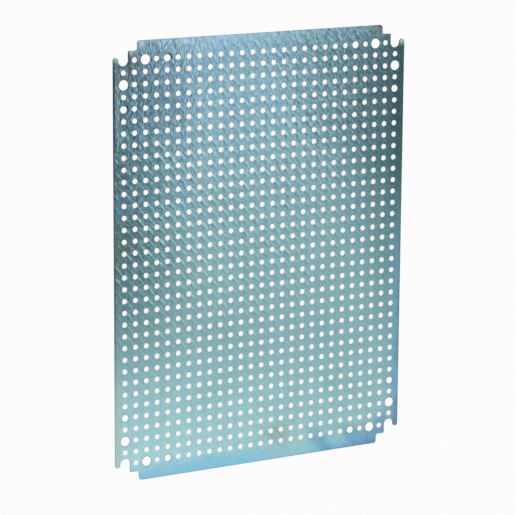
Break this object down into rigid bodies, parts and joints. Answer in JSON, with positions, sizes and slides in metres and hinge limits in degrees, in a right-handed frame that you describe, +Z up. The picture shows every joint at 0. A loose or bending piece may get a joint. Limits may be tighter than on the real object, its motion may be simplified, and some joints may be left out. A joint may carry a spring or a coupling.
{
  "type": "perforated mounting plate",
  "caption": "Flat zinc-plated steel sheet punched all over with a square grid of round holes, with larger fixing holes and a stepped, slotted cut-out at its corners.",
  "frame": {"origin": "middle of the sheet's underside", "axes": "+X across the sheet, +Y along it, +Z up out of the face that the picture shows"},
  "size_m": [0.348, 0.464, 0.0015],
  "materials": {
    "zinc_plated_steel": "satin zinc plating with a blue-green passivation and a fine grain along the sheet"
  },
  "bodies": {
    "root": {"perforated_plate": "zinc_plated_steel"}
  },
  "joints": []
}
